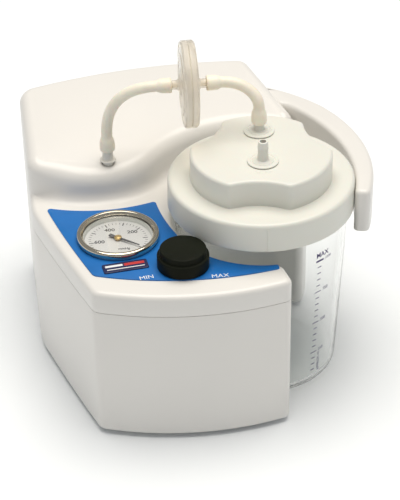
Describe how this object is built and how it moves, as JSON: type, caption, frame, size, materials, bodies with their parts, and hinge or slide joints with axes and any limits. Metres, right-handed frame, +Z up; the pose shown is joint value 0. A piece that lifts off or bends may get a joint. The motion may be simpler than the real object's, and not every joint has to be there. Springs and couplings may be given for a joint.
{
  "type": "suction pump",
  "caption": "Portable suction pump: moulded casing, vacuum gauge, regulator knob, clear lidded collection jar in a side recess, soft hoses and an in-line filter.",
  "frame": {"origin": "on the surface that the pump stands on, under the middle of its whole box", "axes": "+X to the jar's side, +Y to the back wall with the mains inlet, +Z up"},
  "size_m": [0.2398, 0.2608, 0.241],
  "materials": {
    "casing_white": "fine moulded texture, satin",
    "panel_blue": "printed overlay, satin",
    "badge_navy": "smooth",
    "bezel_chrome": "polished",
    "dial_white": "printed, matt",
    "gauge_glass": "clear, polished",
    "needle_black": "matt",
    "gauge_black": "satin",
    "fitting_brass": "machined",
    "knob_black": "satin moulded",
    "steel": "zinc plated",
    "pump_aluminium": "cast",
    "black_plastic": "fine moulded texture",
    "rubber_black": "matt",
    "gasket_silicone": "matt",
    "hose_silicone": "translucent, satin",
    "jar_clear": "clear, polished",
    "lid_white": "smooth moulded, satin",
    "port_clear": "translucent, smooth",
    "filter_clear": "clear, smooth",
    "filter_paper": "paper membrane",
    "float_red": "smooth"
  },
  "bodies": {
    "casing": {"arm_bolt_front": "steel", "arm_bolt_rear": "steel", "bourdon_tube": "fitting_brass", "casing_screw_1": "steel", "casing_screw_2": "steel", "casing_screw_3": "steel", "casing_screw_4": "steel", "control_panel": "panel_blue", "diaphragm": "rubber_black", "exhaust_silencer": "fitting_brass", "foot_1": "rubber_black", "foot_2": "rubber_black", "foot_3": "rubber_black", "foot_4": "rubber_black", "gauge_bezel": "bezel_chrome", "gauge_case": "gauge_black", "gauge_dial": "dial_white", "gauge_hose": "hose_silicone", "gauge_lens": "gauge_glass", "gauge_movement": "fitting_brass", "gauge_stem": "fitting_brass", "lower_casing": "casing_white", "mains_inlet": "black_plastic", "motor_housing": "steel", "panel_badge": "badge_navy", "port_hose": "hose_silicone", "pump_chassis": "steel", "pump_frame": "pump_aluminium", "pump_head": "pump_aluminium", "pump_hose": "hose_silicone", "pump_mount_left": "rubber_black", "pump_mount_right": "rubber_black", "regulator_body": "fitting_brass", "regulator_nut": "steel", "side_arm": "casing_white", "switch_frame": "black_plastic", "upper_casing": "casing_white", "vacuum_port": "port_clear"},
    "regulator": {"regulator_knob": "knob_black", "regulator_stem": "steel"},
    "needle": {"gauge_needle": "needle_black"},
    "switch": {"power_rocker": "black_plastic"},
    "motor_shaft": {"crankshaft": "steel", "motor_fan": "black_plastic"},
    "rod": {"connecting_rod": "steel"},
    "jar_body": {"jar": "jar_clear"},
    "lid": {"jar_lid": "lid_white", "lid_gasket": "gasket_silicone", "vacuum_nipple": "lid_white", "patient_nipple": "lid_white", "float_cage": "lid_white"},
    "float": {"float_ball": "float_red"},
    "hoses": {"hose_filter_to_lid": "hose_silicone", "filter_outlet_half": "filter_clear", "filter_membrane": "filter_paper", "filter_inlet_half": "filter_clear", "hose_casing_to_filter": "hose_silicone"},
    "fuse": {"fuse_drawer": "black_plastic"}
  },
  "joints": [
    {"name": "jar_lift", "type": "slide", "parent": "casing", "child": "jar_body", "axis": [0, 0, 1], "range_m": [0, 0.155]},
    {"name": "lid_lift", "type": "slide", "parent": "jar_body", "child": "lid", "axis": [0, 0, 1], "range_m": [0, 0.06]},
    {"name": "hoses_pull", "type": "slide", "parent": "lid", "child": "hoses", "axis": [0, 0, 1], "range_m": [0, 0.03]},
    {"name": "float_rise", "type": "slide", "parent": "lid", "child": "float", "axis": [0, 0, 1], "range_m": [0, 0.024]},
    {"name": "regulator_turn", "type": "hinge", "parent": "casing", "child": "regulator", "pos_m": [-0.03778, -0.08979, 0.129], "axis": [0, 0, 1], "range_deg": [-135, 135]},
    {"name": "needle_turn", "type": "hinge", "parent": "casing", "child": "needle", "pos_m": [-0.07118, -0.0436, 0.121], "axis": [0, 0, 1], "range_deg": [0, 270], "stiffness_Nm_per_rad": 0.0005},
    {"name": "switch_rock", "type": "hinge", "parent": "casing", "child": "switch", "pos_m": [-0.03028, 0.1269, 0.046], "axis": [0, 0, 1], "range_deg": [0, 16]},
    {"name": "motor_turn", "type": "hinge", "parent": "casing", "child": "motor_shaft", "pos_m": [0.00371, 0.071, 0.056], "axis": [1, 0, 0], "continuous": true},
    {"name": "rod_turn", "type": "hinge", "parent": "motor_shaft", "child": "rod", "pos_m": [0.00371, 0.071, 0.06], "axis": [1, 0, 0], "continuous": true},
    {"name": "fuse_pull", "type": "slide", "parent": "casing", "child": "fuse", "axis": [0, 1, 0], "range_m": [0, 0.012]}
  ],
  "couplings": [
    {"joint": "rod_turn", "follows": "motor_turn", "ratio": -1}
  ]
}
